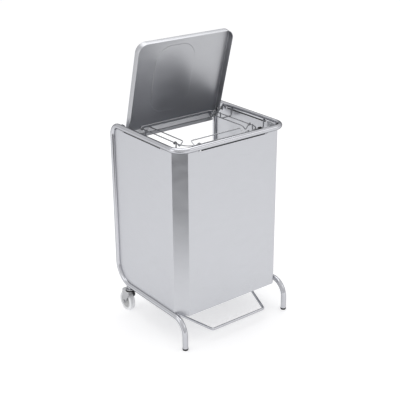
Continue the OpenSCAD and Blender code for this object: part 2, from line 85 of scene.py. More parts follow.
LID_OPEN = math.radians(75)
LID_W, LID_L, LID_H, LID_R = 525, 474, 32, 45  # width, length, height, corner radius
PRESS_W, PRESS_L, PRESS_R, PRESS_DEPTH, PRESS_LEFT = 218, 336, 80, 3, 34  # panel pressed into the lid
PIVOT_Y, PIVOT_Z = REAR_Y - 65, RIM_Z - 18  # axis of the lid
LID_TOP = RIM_Z
LID_BACK = PIVOT_Y + 50
LID_LOW = LID_TOP - LID_H
PRESS_Y = LID_BACK - 264
PIN_R = 5
LUG_X, LUG_T, LUG_R, LUG_RISE = HALF_W - TUBE_R - 5, 5, 13, 27  # inner face, thickness, round end, height

WIRE_R = 2.5
RING_X, RING_R, RING_REAR_R = 212, 60, 18  # half width, front and rear corners
RING_Z = RIM_Z - 13
RING_FRONT, RING_BACK = FRONT_Y + 63, REAR_Y - 81
SWING_EYE = 5.6
SIDE_DIP, FRONT_DIP = 22, 17  # depth of the V-shaped ends of the swing wires
SIDE_REACH, FRONT_REACH = 42, 62  # how far the swing wires stand out from the ring
ARM_FRONT, ARM_BACK = FRONT_Y + 143, REAR_Y - 105  # ends of the side ones
STRUT_R, STRUT_Z, STRUT_BEND = 3, RIM_Z - 40, 8
STRUT_Y = (FRONT_Y + 129, REAR_Y - 143)

PEDAL_R, PEDAL_HALF, PEDAL_Z = 6, 155, 60
PEDAL_Y = box_mm("pedal_loop")[0].y + PEDAL_R
SHAFT_Y, SHAFT_Z, SHAFT_R = REAR_Y - 48, 120, 10  # axis of the pedal and its sleeves
ARM_X, SPLAY, TOE_R, KNEE_R = 232, math.radians(19), 14, 40
LINK_X, LINK_Y = ARM_X + 12, SHAFT_Y - 180  # pull rod's pin on the pedal
LINK_PIN_R, LINK_HEAD_R = 3, 5
LINK_HEAD_X, BRACKET_X = LINK_X + 3.5, LINK_X - 8.5
PEDAL_PIN_R = 5
ROD_R, LOW_EYE, TOP_EYE = 2.5, 5.9, 8.7
HOOK_R = 24  # from the lid's axis to the pin that the pull rod hangs on

WHEEL_R, TYRE_W, TRAIL = 50, 30, 30
CASTOR_Y = REAR_Y - 93
CASTOR_DIR = math.radians(88)
CROWN_Z, CROWN_TOP, RACE_Z, SOCKET_Z = 112, 116, 122.4, 125.4
LEG_IN, LEG_T = TYRE_W / 2 + 3, 2.5  # inner face and thickness of the fork's legs
FORK_REAR, FORK_REAR_Z, FORK_EYE_R = -12, 96, 12  # its rear edge, and its round end about the axle

SIDES = (("left", -1), ("right", 1))


# materials ----------------------------------------------------------------------
class Look:
    """A material as it is built. Each call adds a node and gives back the output to use next."""

    def __init__(self, name, metallic=0.0):
        self.material = bpy.data.materials.new(name)
        self.material.use_nodes = True
        self.tree = self.material.node_tree
        self.shader = self.tree.nodes["Principled BSDF"]
        self.set(Metallic=metallic)
        self.grain = self.node("ShaderNodeAttribute", attribute_name="grain").outputs["Vector"]

    def set(self, **constants):
        """Constant values on the shader's own sockets; an underscore in a name stands for a space."""
        for name, value in constants.items():
            self.shader.inputs[name.replace("_", " ")].default_value = value

    def node(self, kind, inputs=None, **settings):
        made = self.tree.nodes.new(kind)
        for name, value in settings.items():
            setattr(made, name, value)
        for name, value in (inputs or {}).items():
            if isinstance(value, bpy.types.NodeSocket):
                self.tree.links.new(value, made.inputs[name])
            else:
                made.inputs[name].default_value = value
        return made

    def noise(self, size, detail=3.0, warp=0.0):
        """Cloudy noise whose features are size millimetres along and across the grain."""
        scale = [1 / s for s in size]
        where = self.node("ShaderNodeMapping", {"Vector": self.grain, "Scale": scale}).outputs["Vector"]
        values = {"Vector": where, "Scale": 1.0, "Detail": detail, "Distortion": warp}
        return self.node("ShaderNodeTexNoise", values).outputs["Fac"]

    def spread(self, value, low, high, start=0.3, end=0.7):
        """value between start and end becomes low to high."""
        values = {"Value": value, "From Min": start, "From Max": end, "To Min": low, "To Max": high}
        return self.node("ShaderNodeMapRange", values).outputs["Result"]

    def math(self, operation, a, b):
        made = self.node("ShaderNodeMath", {0: a, 1: b}, operation=operation)
        return made.outputs["Value"]

    def mix(self, share, a, b):
        return self.node("ShaderNodeMixRGB", {"Fac": share, "Color1": a, "Color2": b}).outputs["Color"]

    def finish(self, colour, roughness, height, depth_mm):
        """Links colour, roughness and a bump of that depth to the shader."""
        bump = self.node("ShaderNodeBump", {"Height": height, "Distance": depth_mm * MM, "Strength": 1.0})
        self.tree.links.new(colour, self.shader.inputs["Base Color"])
        self.tree.links.new(roughness, self.shader.inputs["Roughness"])
        self.tree.links.new(bump.outputs["Normal"], self.shader.inputs["Normal"])
        return self.material


def shade(colour, factor):
    """colour made lighter or darker, with an alpha of 1."""
    return [min(1.0, c * factor) for c in colour] + [1.0]


def steel(name, colour, rough, streak, edge, brushed=0.25, depth_mm=0.004):
    """Stainless steel: fine streaks along the grain, hazy wipe marks and light scratches, and painted shade
    at grazing angles set by edge.
    """
    look = Look(name, metallic=1.0)
    # edge tints the reflection at grazing angles; a low edge is painted shade that darkens the silhouettes
    look.set(Specular_Tint=[edge, edge, edge * 1.02, 1.0], Anisotropic=brushed)
    fine = look.noise(streak, detail=2.0)
    haze = look.noise((170, 95, 95), detail=4.0, warp=1.4)
    scuff = look.spread(look.noise((45, 0.9, 0.9), detail=1.0, warp=0.4), 0.0, 1.0, 0.70, 0.78)
    tone = look.mix(look.spread(haze, 0.0, 1.0), shade(colour, 0.97), shade(colour, 1.02))
    tone = look.mix(look.spread(fine, 0.0, 0.45), tone, shade(colour, 0.94))
    worn = look.math("MULTIPLY", scuff, 0.06)
    cloudy = look.spread(haze, -0.035, 0.045)
    base = look.spread(fine, rough - 0.04, rough + 0.05)
    roughness = look.math("ADD", look.math("ADD", base, cloudy), worn)
    height = look.math("SUBTRACT", fine, look.math("MULTIPLY", scuff, 0.8))
    return look.finish(tone, roughness, height, depth_mm)


def moulded(name, colour, rough, pore_mm, dust, dust_share, depth_mm=0.03):
    """Moulded rubber or plastic with a matt skin, worn patches and dust in the low spots."""
    look = Look(name)
    look.set(Specular_IOR_Level=0.4)
    pores = look.noise((pore_mm,) * 3, detail=3.0)
    patch = look.noise((14, 14, 14), detail=5.0, warp=0.8)
    worn = look.noise((5, 5, 5), detail=6.0, warp=1.5)
    tone = look.mix(look.spread(patch, 0.0, 1.0), shade(colour, 0.86), shade(colour, 1.12))
    tone = look.mix(look.spread(worn, 0.0, dust_share, 0.52, 0.72), tone, dust)
    roughness = look.math("ADD", look.spread(pores, rough - 0.08, rough + 0.08),
                          look.spread(patch, -0.05, 0.06))
    return look.finish(tone, roughness, pores, depth_mm)


LOOKS = {
    # the fifth number is edge: kept very low on tubes, wires and castors as painted shade along their
    # silhouettes
    "polished_tube": steel("polished_tube", (0.575, 0.58, 0.61), 0.14, (60, 0.5, 0.5), 0.16),
    "satin_sheet": steel("satin_sheet", (0.575, 0.583, 0.61), 0.33, (80, 0.45, 0.45), 0.72, 0.35, 0.005),
    "lid_sheet": steel("lid_sheet", (0.50, 0.506, 0.525), 0.39, (90, 0.45, 0.45), 0.7, 0.15, 0.002),
    # much lighter copy of satin_sheet for the lid rail: painted light, so that its strip reads light
    "lightened_rail_sheet": steel("lightened_rail_sheet", (0.93, 0.935, 0.95), 0.6, (80, 0.45, 0.45), 0.8, 0.1, 0.003),
    "bright_wire": steel("bright_wire", (0.44, 0.445, 0.46), 0.13, (30, 0.35, 0.35), 0.10, 0.1, 0.002),
    "plated_castor": steel("plated_castor", (0.58, 0.585, 0.60), 0.09, (25, 0.6, 0.6), 0.12, 0.0, 0.003),
    "foot_black": moulded("foot_black", (0.016, 0.016, 0.018), 0.55, 0.9, (0.10, 0.10, 0.10, 1), 0.25),
    "buffer_rubber": moulded("buffer_rubber", (0.013, 0.013, 0.014), 0.62, 0.7,
                             (0.08, 0.08, 0.08, 1), 0.2),
    "grey_nylon": moulded("grey_nylon", (0.50, 0.505, 0.51), 0.42, 1.3,
                          (0.30, 0.30, 0.29, 1), 0.25, 0.015),
    "pale_tyre": moulded("pale_tyre", (0.80, 0.805, 0.82), 0.46, 1.6, (0.55, 0.545, 0.54, 1), 0.3, 0.03),
}


# shapes ---------------------------------------------------------------------------
def together(*shapes):
    """Several shapes as one."""
    points, faces, grain = [], [], []
    for some_points, some_faces, some_grain in shapes:
        start = len(points)
        points += some_points
        faces += [[start + i for i in face] for face in some_faces]
        grain += some_grain
    return points, faces, grain


def placed(shape, matrix):
    points, faces, grain = shape
    return [matrix @ Vector(p) for p in points], faces, grain


def mirrored(shape, side):
    """The shape as drawn for the right side, or its mirror image for side -1."""
    return placed(shape, Matrix.Diagonal((side, 1, 1, 1)))


def bent(corners, radii, closed=False, step=math.radians(6)):
    """A path through corners, each rounded to its radius; a radius of 0 leaves the point as it is."""
    corners = [Vector(c) for c in corners]
    count = len(corners)
    path = []

    def add(point):
        if not path or (point - path[-1]).length > SAME:
            path.append(point)

    for i, (corner, radius) in enumerate(zip(corners, radii)):
        at_end = not closed and i in (0, count - 1)
        if at_end or not radius:
            add(corner)
            continue
        back = (corners[i - 1] - corner).normalized()
        ahead = (corners[(i + 1) % count] - corner).normalized()
        opening = back.angle(ahead)
        centre = corner + (back + ahead).normalized() * radius / math.sin(opening / 2)
        first = corner + back * radius / math.tan(opening / 2) - centre
        last = corner + ahead * radius / math.tan(opening / 2) - centre
        turn = math.pi - opening
        pieces = max(2, round(turn / step))
        for k in range(pieces + 1):
            a = turn * k / pieces
            add(centre + (first * math.sin(turn - a) + last * math.sin(a)) / math.sin(turn))
    return path


def stack(rings, capped=True):
    """Faces that join closed rings of equal length, with a flat face over each end if capped."""
    size = len(rings[0])
    faces = []
    for i in range(len(rings) - 1):
        for k in range(size):
            after = (k + 1) % size
            faces.append([i * size + k, i * size + after, (i + 1) * size + after, (i + 1) * size + k])
    if capped:
        faces.append(list(range(size)))
        faces.append(list(range((len(rings) - 1) * size, len(rings) * size)))
    return faces


def sweep(path, radius, closed=False, sides=28):
    """Round bar or tube along path. The grain runs along it."""
    path = [Vector(p) for p in path]
    count = len(path)
    radii = [radius] * count
    tangents = []
    for i in range(count):
        before = path[i - 1] if i or closed else path[i]
        after = path[(i + 1) % count] if i < count - 1 or closed else path[i]
        tangents.append((after - before).normalized())
    if not closed:
        chamfer = 0.4
        start, end = path[0] + tangents[0] * chamfer, path[-1] - tangents[-1] * chamfer
        path = [path[0], start] + path[1:-1] + [end, path[-1]]
        tangents = [tangents[0]] + tangents + [tangents[-1]]
        radii = [radius - chamfer] + [radius] * count + [radius - chamfer]
    aside = tangents[0].orthogonal().normalized()
    points, grain, travelled = [], [], 0.0
    for i, (centre, tangent, r) in enumerate(zip(path, tangents, radii)):
        if i:
            aside = tangents[i - 1].rotation_difference(tangent) @ aside
            travelled += (centre - path[i - 1]).length
        aside = (aside - tangent * aside.dot(tangent)).normalized()
        across = tangent.cross(aside)
        for k in range(sides):
            a = math.tau * k / sides
            points.append(centre + (aside * math.cos(a) + across * math.sin(a)) * r)
            grain.append((travelled, r * math.cos(a), r * math.sin(a)))
    rings = [points[i * sides:(i + 1) * sides] for i in range(len(path))]
    faces = stack(rings, capped=not closed)
    if closed:
        last = (len(rings) - 1) * sides
        for k in range(sides):
            after = (k + 1) % sides
            faces.append([last + k, last + after, after, k])
    return points, faces, grain


def lathe(profile, at, along=(0, 0, 1), sides=48, start=0.0, arc=math.tau):
    """Turned shape. profile is (radius, distance along the axis) pairs, closed on itself or on the axis."""
    whole = arc == math.tau
    turn = Vector((0, 0, 1)).rotation_difference(Vector(along).normalized()).to_matrix()
    steps = sides if whole else sides + 1
    points, grain = [], []
    for k in range(steps):
        a = start + arc * k / sides
        for radius, height in profile:
            local = Vector((radius * math.cos(a), radius * math.sin(a), height))
            points.append(Vector(at) + turn @ local)
            grain.append((0.15 * radius * math.cos(a), radius, height))
    size = len(profile)
    faces = []
    for k in range(steps if whole else steps - 1):
        after = (k + 1) % steps
        for i in range(size):
            j = (i + 1) % size
            faces.append([k * size + i, k * size + j, after * size + j, after * size + i])
    if not whole:
        faces.append(list(range(size)))
        faces.append(list(range((steps - 1) * size, steps * size)))
    return points, faces, grain


def plate(outline, thickness, origin, u_axis, v_axis):
    """Flat plate of that outline, drawn from origin along u_axis and v_axis. The grain runs along u."""
    u_axis, v_axis, origin = Vector(u_axis), Vector(v_axis), Vector(origin)
    normal = u_axis.cross(v_axis)
    drawn = [Vector((u, v, 0)) for u, v in outline]
    triangles = tessellate_polygon([drawn])
    count = len(drawn)
    points, grain = [], []
    for offset in (0, thickness):
        for p in drawn:
            points.append(origin + u_axis * p.x + v_axis * p.y + normal * offset)
            grain.append((p.x, p.y, offset))
    faces = [list(t) for t in triangles] + [[count + i for i in reversed(t)] for t in triangles]
    for k in range(count):
        after = (k + 1) % count
        faces.append([k, after, count + after, count + k])
    return points, faces, grain


def rounded(width, length, radius, centre=(0, 0), steps=12):
    """Points of a rounded rectangle, anticlockwise from its right side."""
    out = []
    for quarter, (sx, sy) in enumerate(((1, 1), (-1, 1), (-1, -1), (1, -1))):
        cx = centre[0] + sx * (width / 2 - radius)
        cy = centre[1] + sy * (length / 2 - radius)
        for k in range(steps + 1):
            a = math.pi / 2 * (quarter + k / steps)
            out.append((cx + radius * math.cos(a), cy + radius * math.sin(a)))
    return out


def x_turned(x0, x1, y, z, radius, chamfer=0.6):
    """Pin or disc along X with chamfered ends."""
    ends = [(0, 0), (radius - chamfer, 0), (radius, chamfer), (radius, x1 - x0 - chamfer),
            (radius - chamfer, x1 - x0), (0, x1 - x0)]
    return lathe(ends, (x0, y, z), (1, 0, 0), 40)


def weld_ring(at, along, radius, width=3.0, proud=0.7):
    """Bead of weld round a tube or pin, where it meets something."""
    path = [(radius - 0.4, -width / 2), (radius + proud * 0.7, -width / 4), (radius + proud, 0),
            (radius + proud * 0.7, width / 4), (radius - 0.4, width / 2)]
    return lathe(path, at, along, 40)


def opened(shape):
    """A shape drawn on the closed lid, turned up about the lid's hinge pins."""
    pivot = Vector((0, PIVOT_Y, PIVOT_Z))
    turn = Matrix.Translation(pivot) @ Matrix.Rotation(-LID_OPEN, 4, "X") @ Matrix.Translation(-pivot)
    return placed(shape, turn)


def piece(name, shape, look, body, *nodes, bevel=0.0, sharp=38, slot=None):
    """Makes the object in metres, with its look and body, and lets it stand for the CAD nodes. slot is not
    used.
    """
    points, faces, grain = shape
    mesh = bpy.data.meshes.new(name)
    mesh.from_pydata([Vector(p) * MM for p in points], [], faces)
    layer = mesh.attributes.new("grain", "FLOAT_VECTOR", "POINT")
    layer.data.foreach_set("vector", [value for spot in grain for value in spot])
    work = bmesh.new()
    work.from_mesh(mesh)
    bmesh.ops.remove_doubles(work, verts=work.verts, dist=0.001 * MM)
    bmesh.ops.recalc_face_normals(work, faces=work.faces)
    work.to_mesh(mesh)
    work.free()
    mesh.shade_smooth()
    mesh.set_sharp_from_angle(angle=math.radians(sharp))
    mesh.materials.append(LOOKS[look])
    made = bpy.data.objects.new(name, mesh)
    bpy.context.scene.collection.objects.link(made)
    if bevel:
        soft = made.modifiers.new("soft_edges", "BEVEL")
        soft.width = bevel * MM
        soft.segments = 3
        soft.limit_method = "ANGLE"
        soft.angle_limit = math.radians(30)
        soft.harden_normals = True
    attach(made, body)
    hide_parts(*nodes)


# frame ----------------------------------------------------------------------------
def make_tubes():
    join_y = FRONT_Y + RIM_CORNER
    for side, s in SIDES:
        x = s * HALF_W
        corners = [(x, FOOT_Y, CAP_FLOOR), (x, FOOT_Y, BASE_Z), (x, REAR_Y, BASE_Z), (x, REAR_Y, RIM_Z),
                   (x, join_y, RIM_Z)]
        path = bent(corners, (0, FOOT_BEND, REAR_BEND, TOP_BEND, 0))
        piece(f"tube_side_{side}", sweep(path, TUBE_R, sides=48), "polished_tube", "frame",
              f"side_tube_{side}")
        cap = [(0, 0), (8.5, 0), (9, 0.6), (10.5, 0.6), (11, 0), (CAP_R - 1.6, 0), (CAP_R - 0.5, 0.5),
               (CAP_R, 1.6), (CAP_R, CAP_H - 1.5), (CAP_R - 0.3, CAP_H - 0.5), (CAP_R - 0.8, CAP_H),
               (TUBE_R - 0.1, CAP_H - 0.4), (TUBE_R - 0.1, CAP_FLOOR), (0, CAP_FLOOR)]
        foot = lathe(cap, (x, FOOT_Y, 0), sides=56)
        piece(f"rubber_foot_{side}", foot, "foot_black", "frame", f"foot_cap_{side}")
    rim = [(-HALF_W, join_y, RIM_Z), (-HALF_W, FRONT_Y, RIM_Z), (HALF_W, FRONT_Y, RIM_Z),
           (HALF_W, join_y, RIM_Z)]
    shape = sweep(bent(rim, (0, RIM_CORNER, RIM_CORNER, 0)), TUBE_R, sides=48)
    seams = [weld_ring((s * HALF_W, join_y, RIM_Z), (0, 1, 0), TUBE_R, 2.4, 0.12) for _, s in SIDES]
    piece("tube_rim", together(shape, *seams), "polished_tube", "frame", "rim_tube")


def panel_low(y):
    """Height of the lower edge of a side panel at y, above the side tube."""
    into = y - (REAR_Y - REAR_BEND)
    inner = REAR_BEND - TUBE_R
    if into <= 0:
        return BASE_Z + TUBE_R
    return BASE_Z + REAR_BEND - math.sqrt(max(0.0, inner ** 2 - into ** 2))


def panel_high(y):
    """Height of the upper edge of a side panel at y, under the top tube and its slot."""
    into = y - (REAR_Y - TOP_BEND)
    inner = TOP_BEND - TUBE_R
    if into > 0:
        return RIM_Z - TOP_BEND + math.sqrt(max(0.0, inner ** 2 - into ** 2))
    return UNDER_RIM


def cladding_path():
    """Plan outline of the folded sheet, from its left rear edge round the front to its right rear edge."""
    rear, fold = REAR_Y - TUBE_R, 3.5
    arc = [rear - (REAR_BEND - TUBE_R) * (1 - math.sin(math.radians(a))) for a in range(90, -1, -6)]
    slot_ends = [SLOT_BACK, SLOT_BACK - SLOT_EASE, SLOT_FRONT + SLOT_EASE, SLOT_FRONT]
    side_ys = sorted(set(arc + slot_ends + [0]), reverse=True)
    steps_down = [(HALF_W - t, FRONT_Y + BEVEL - t, 0) for t in (TUBE_R + 1.5, TUBE_R + 2.5)]
    left = [(-HALF_W, y, 0) for y in side_ys]
    left += [(-HALF_W, FRONT_Y + BEVEL, 0)] + [(-x, y, 0) for x, y, _ in steps_down]
    left += [(-HALF_W + BEVEL, FRONT_Y, 0), (-SLOT_HALF, FRONT_Y, 0), (SLOT_EASE - SLOT_HALF, FRONT_Y, 0)]
    radii = [0] * len(side_ys) + [fold, 0, 0, fold, 0, 0]
    right = [(-x, y, 0) for x, y, _ in reversed(left)]
    return bent(left + right, radii + radii[::-1], step=math.radians(9))


def cladding_column(spot, rows):
    """Heights at a place of the plan, from the sheet's lower edge up to the tube or the slot under it."""
    past_tube = FRONT_Y + BEVEL - TUBE_R - 2
    on_side = abs(abs(spot.x) - HALF_W) < SAME and spot.y > FRONT_Y + BEVEL
    low = panel_low(spot.y) if spot.y > past_tube else BASE_Z + 2
    high = panel_high(spot.y) if on_side else UNDER_RIM
    if on_side:
        in_slot = SLOT_FRONT + SLOT_EASE <= spot.y <= SLOT_BACK - SLOT_EASE
    else:
        in_slot = abs(spot.x) <= SLOT_HALF - SLOT_EASE
    if in_slot:
        high -= SLOT_H
    return [low + (high - low) * k / rows for k in range(rows + 1)]


def make_cladding():
    """One folded sheet: a column of points up its outside and down its inside at each place of its plan."""
    path, rows = cladding_path(), 10
    points, grain, size = [], [], 2 * (rows + 1)
    travelled = 0.0
    for i, spot in enumerate(path):
        back, ahead = path[max(0, i - 1)], path[min(len(path) - 1, i + 1)]
        travelled += (spot - path[i - 1]).length if i else 0
        outward = Vector((-(ahead - back).y, (ahead - back).x, 0)).normalized() * -SHEET / 2
        heights = cladding_column(spot, rows)
        for z in heights:
            points.append(spot + outward + Vector((0, 0, z)))
            grain.append((travelled, z, 0))
        for z in reversed(heights):
            points.append(spot - outward + Vector((0, 0, z)))
            grain.append((travelled, z, SHEET))
    rings = [points[i * size:(i + 1) * size] for i in range(len(path))]
    piece("sheet_cladding", (points, stack(rings), grain), "satin_sheet", "frame", "cladding", sharp=30)


def make_floor():
    """Floor sheet with bevelled front corners, a notch for the pull rod and a folded rear edge."""
    edge = -SHEET / 2 - 1
    back = REAR_Y - REAR_BEND + 7
    cut = edge * math.tan(math.radians(22.5))
    right = HALF_W + edge
    notch = [(right, LINK_Y - 5), (ARM_X + 3, LINK_Y - 5), (ARM_X, LINK_Y - 2), (ARM_X, LINK_Y + 31),
             (ARM_X + 3, LINK_Y + 34), (right, LINK_Y + 34)]
    outline = [(-right, back), (-right, FRONT_Y + BEVEL - cut)]
    outline += [(-HALF_W + BEVEL - cut, FRONT_Y - edge), (HALF_W - BEVEL + cut, FRONT_Y - edge)]
    outline += [(right, FRONT_Y + BEVEL - cut)] + notch + [(right, back)]
    base = plate(outline, SHEET, (0, 0, FLOOR_Z), (1, 0, 0), (0, 1, 0))
    half = HALF_W - 20
    flange = [(-half, 0), (half, 0), (half, 10), (half - 4, 14), (4 - half, 14), (-half, 10)]
    lip = plate(flange, SHEET, (0, back, FLOOR_Z), (1, 0, 0), (0, 0, 1))
    piece("sheet_floor", together(base, lip), "satin_sheet", "frame", "floor_front", "floor_middle",
          "floor_rear", bevel=0.35)


def make_slot_shade_strips():
    """Black strips with rounded edges that fill the slots, but for a short way at each end: painted shade
    that makes the slots read dark.
    """
    clear, wide = 8, 3
    section = rounded(wide, SLOT_H - 0.1, 1.0, (0, UNDER_RIM - SLOT_H / 2 - 0.05), steps=4)
    long, half = SLOT_BACK - SLOT_FRONT - 2 * clear, SLOT_HALF - clear
    side = plate(section, long, (HALF_W, SLOT_BACK - clear, 0), (1, 0, 0), (0, 0, 1))
    front = plate(section, 2 * half, (-half, FRONT_Y, 0), (0, 1, 0), (0, 0, 1))
    # painted shade: black strips standing in for the shadow in the slots
    strips = together(mirrored(side, -1), side, front)
    piece("slot_shade_strips", strips, "buffer_rubber", "frame", "rim_seals", bevel=0.3)


def make_weld_tabs():
    z = UNDER_RIM - 4.2
    dome = [(0, -0.2), (4, -0.2), (4, 0.5), (3.6, 1.0), (2.6, 1.35), (0, 1.5)]
    tabs = []
    for _, s in SIDES:
        for y in (SLOT_FRONT - 4, SLOT_BACK + 4):
            tabs.append(lathe(dome, (s * (HALF_W + SHEET / 2), y, z), (s, 0, 0), 28))
        tabs.append(lathe(dome, (s * (SLOT_HALF + 4), FRONT_Y - SHEET / 2, z), (0, -1, 0), 28))
    piece("weld_spots", together(*tabs), "polished_tube", "frame", "weld_tabs")


def make_cross_tubes():
    half = HALF_W - TUBE_R
    shaft_z = BASE_Z + REAR_BEND - math.sqrt(REAR_BEND ** 2 - (SHAFT_Y - REAR_Y + REAR_BEND) ** 2)
    places = {"front": (FRONT_Y + 83, FLOOR_Z - 8, 8), "mid": (REAR_Y - 173, FLOOR_Z - 8, 8),
              "rear": (SHAFT_Y, shaft_z, 10)}
    for place, (y, z, r) in places.items():
        bar = sweep([(-half, y, z), (half, y, z)], r, sides=40)
        welds = [weld_ring((s * (half - 1.2), y, z), (1, 0, 0), r, 2.4, 0.9) for _, s in SIDES]
        piece(f"tube_cross_{place}", together(bar, *welds), "polished_tube", "frame",
              f"cross_tube_{place}")


def lug_outline(radius, height, corner=3):
    """Lug with a round lower end about (0, 0), straight sides and an upper edge at height."""
    turns = [math.radians(a) for a in range(180, 361, 9)]
    arc = [(radius * math.cos(a), radius * math.sin(a)) for a in turns]
    return arc + [(radius, height - corner), (radius - corner, height), (corner - radius, height),
                  (-radius, height - corner)]


def make_lid_hinges():
    for side, s in SIDES:
        lug = plate(lug_outline(LUG_R, LUG_RISE), LUG_T, (LUG_X, PIVOT_Y, PIVOT_Z), (0, 1, 0), (0, 0, 1))
        piece(f"hinge_lug_{side}", mirrored(lug, s), "polished_tube", "frame", f"lid_lug_{side}",
              bevel=0.6)
        lid_x = LID_W / 2
        shank = x_turned(lid_x - 3.5, LUG_X + LUG_T, PIVOT_Y, PIVOT_Z, PIN_R)
        head = lathe([(0, 0), (5.5, 0), (7.4, 0.8), (8, 1.8), (8, 3), (0, 3)],
                     (lid_x - 6, PIVOT_Y, PIVOT_Z), (1, 0, 0), 40)
        piece(f"hinge_pin_{side}", mirrored(together(shank, head), s), "bright_wire", "frame",
              f"lid_pin_{side}")
        sleeve = [(PIN_R + 0.06, 0), (7.4, 0), (8, 0.6), (8, 2.5), (11.3, 2.5), (12, 3.2), (12, 9.6),
                  (11.3, 10.5), (9, 10.5), (8, 11.3), (8, 20.4), (7.4, 21), (PIN_R + 0.06, 21)]
        bush = lathe(sleeve, (lid_x - SHEET - 1, PIVOT_Y, PIVOT_Z), (1, 0, 0), 48)
        piece(f"hinge_bush_{side}", mirrored(opened(bush), s), "grey_nylon", "lid", f"lid_bush_{side}")


# bag holder -------------------------------------------------------------------------
def make_bag_ring():
    corners = [(-RING_X, RING_FRONT, RING_Z), (RING_X, RING_FRONT, RING_Z), (RING_X, RING_BACK, RING_Z),
               (-RING_X, RING_BACK, RING_Z)]
    path = bent(corners, (RING_R, RING_R, RING_REAR_R, RING_REAR_R), closed=True, step=math.radians(5))
    piece("wire_ring", sweep(path, WIRE_R, closed=True, sides=24), "bright_wire", "frame", "bag_ring")


def make_struts():
    inner, outer = RING_X + WIRE_R + STRUT_R, HALF_W - TUBE_R - STRUT_R
    for side, s in SIDES:
        for place, y in zip(("front", "rear"), STRUT_Y):
            corners = [(inner, y, RING_Z + WIRE_R), (inner, y, STRUT_Z), (outer, y, STRUT_Z),
                       (outer, y, RIM_Z + 4)]
            path = bent(corners, (0, STRUT_BEND, STRUT_BEND, 0), step=math.radians(10))
            shape = mirrored(sweep(path, STRUT_R, sides=24), s)
            piece(f"wire_strut_{place}_{side}", shape, "bright_wire", "frame",
                  f"ring_strut_{place}_{side}")
        r = LID_TOP - LID_H - 0.4 - STRUT_Z
        profile = [(STRUT_R, 0), (r - 1.8, 0), (r - 0.5, 0.5), (r, 1.8), (r, 5), (r - 0.9, 6),
                   (r - 0.9, 9), (r, 10), (r, 13.2), (r - 0.5, 14.5), (r - 1.8, 15), (STRUT_R, 15)]
        sleeve = lathe(profile, (LID_W / 2 - 8, STRUT_Y[0], STRUT_Z), (1, 0, 0), 40)
        piece(f"rubber_buffer_{side}", mirrored(sleeve, s), "buffer_rubber", "frame",
              f"lid_buffer_{side}")


def swing_path(reach, half, dip):
    """Wire of a swing frame: X reaches out from the ring wire, Y lies along it. Its ends curl round it."""
    low = Vector((reach * 0.55, 0, -dip))
    leave = math.atan2(low.z, low.x) + math.acos(SWING_EYE / low.length)
    curl, pitch, steps, bend = math.radians(300), 2 * WIRE_R + 0.4, 30, 5
    eye = []
    for k in range(steps + 1):
        left = 1 - k / steps
        a = leave + curl * left
        eye.append(Vector((SWING_EYE * math.cos(a), half - pitch * left, SWING_EYE * math.sin(a))))
    corners = [eye[-1], (low.x, half, low.z), (reach, half, 0), (reach, -half, 0), (low.x, -half, low.z)]
    last = Vector((eye[-1].x, -half, eye[-1].z))
    middle = bent(corners + [last], (0, bend, bend, bend, bend, 0), step=math.radians(12))
    return eye[:-1] + middle + [Vector((p.x, -p.y, p.z)) for p in reversed(eye[:-1])]


def make_swing_wires():
    middle, half = (ARM_FRONT + ARM_BACK) / 2, (ARM_BACK - ARM_FRONT) / 2
    side_wire = sweep(swing_path(SIDE_REACH, half, SIDE_DIP), WIRE_R, sides=20)
    for side, s in SIDES:
        turn = Matrix.Translation((s * RING_X, middle, RING_Z)) @ Matrix.Diagonal((-s, 1, 1, 1))
        piece(f"wire_swing_{side}", placed(side_wire, turn), "bright_wire", f"swing_{side}",
              f"swing_wire_{side}")
    front_wire = sweep(swing_path(FRONT_REACH, RING_X - RING_R - 12, FRONT_DIP), WIRE_R, sides=20)
    turn = Matrix.Translation((0, RING_FRONT, RING_Z)) @ Matrix.Rotation(math.pi / 2, 4, "Z")
    piece("wire_swing_front", placed(front_wire, turn), "bright_wire", "swing_front", "swing_wire_front")


# lid ----------------------------------------------------------------------------------
def lid_ring(inset, z, notched=False):
    """Outline of the lid, moved in by inset, at height z; its lower edge steps up where the rod passes."""
    centre = (0, LID_BACK - LID_L / 2)
    ring = []
    for x, y in rounded(LID_W - 2 * inset, LID_L - 2 * inset, LID_R - inset, centre, steps=24):
        over_rod = notched and LINK_X - 8 < x < LINK_X + 8 and y > LID_BACK - 22
        ring.append((x, y, z + 14 if over_rod else z))
    return ring


def press_ring(inset, z):
    """Outline of the pressed panel, moved in by inset, at height z."""
    size = (PRESS_W - 2 * inset, PRESS_L - 2 * inset, PRESS_R - inset)
    return [(x, y, z) for x, y in rounded(*size, (-PRESS_LEFT, PRESS_Y), steps=24)]


def make_lid_tray():
    """Tray with rolled edges and a pressed panel, as rings from the middle above to the middle below."""
    fold, ease, steps = 4.0, 4.0, 10
    drawn = []
    for k in range(steps + 1):
        drop = PRESS_DEPTH * (1 - math.cos(math.pi * k / steps)) / 2
        drawn.append((k / steps * ease - 1.5, drop))
    turn = [math.radians(a) for a in range(90, -1, -15)]

    def rolled(r):
        return [lid_ring(fold - r * math.cos(a), LID_TOP - fold + r * math.sin(a)) for a in turn]

    top = [press_ring(inset, LID_TOP - drop) for inset, drop in reversed(drawn)] + rolled(fold)
    hem = [(0, 0.5), (0.35, 0), (SHEET - 0.35, 0), (SHEET, 0.5)]
    edge = [lid_ring(inset, LID_LOW + up, notched=True) for inset, up in hem]
    under = rolled(fold - SHEET)[::-1]
    under += [press_ring(inset, LID_TOP - SHEET - drop) for inset, drop in drawn]
    rings = top + edge + under
    points = [p for ring in rings for p in ring]
    shape = (points, stack(rings), [tuple(p) for p in points])
    piece("lid_tray", opened(shape), "lid_sheet", "lid", "lid_panel", "lid_edge", sharp=50)


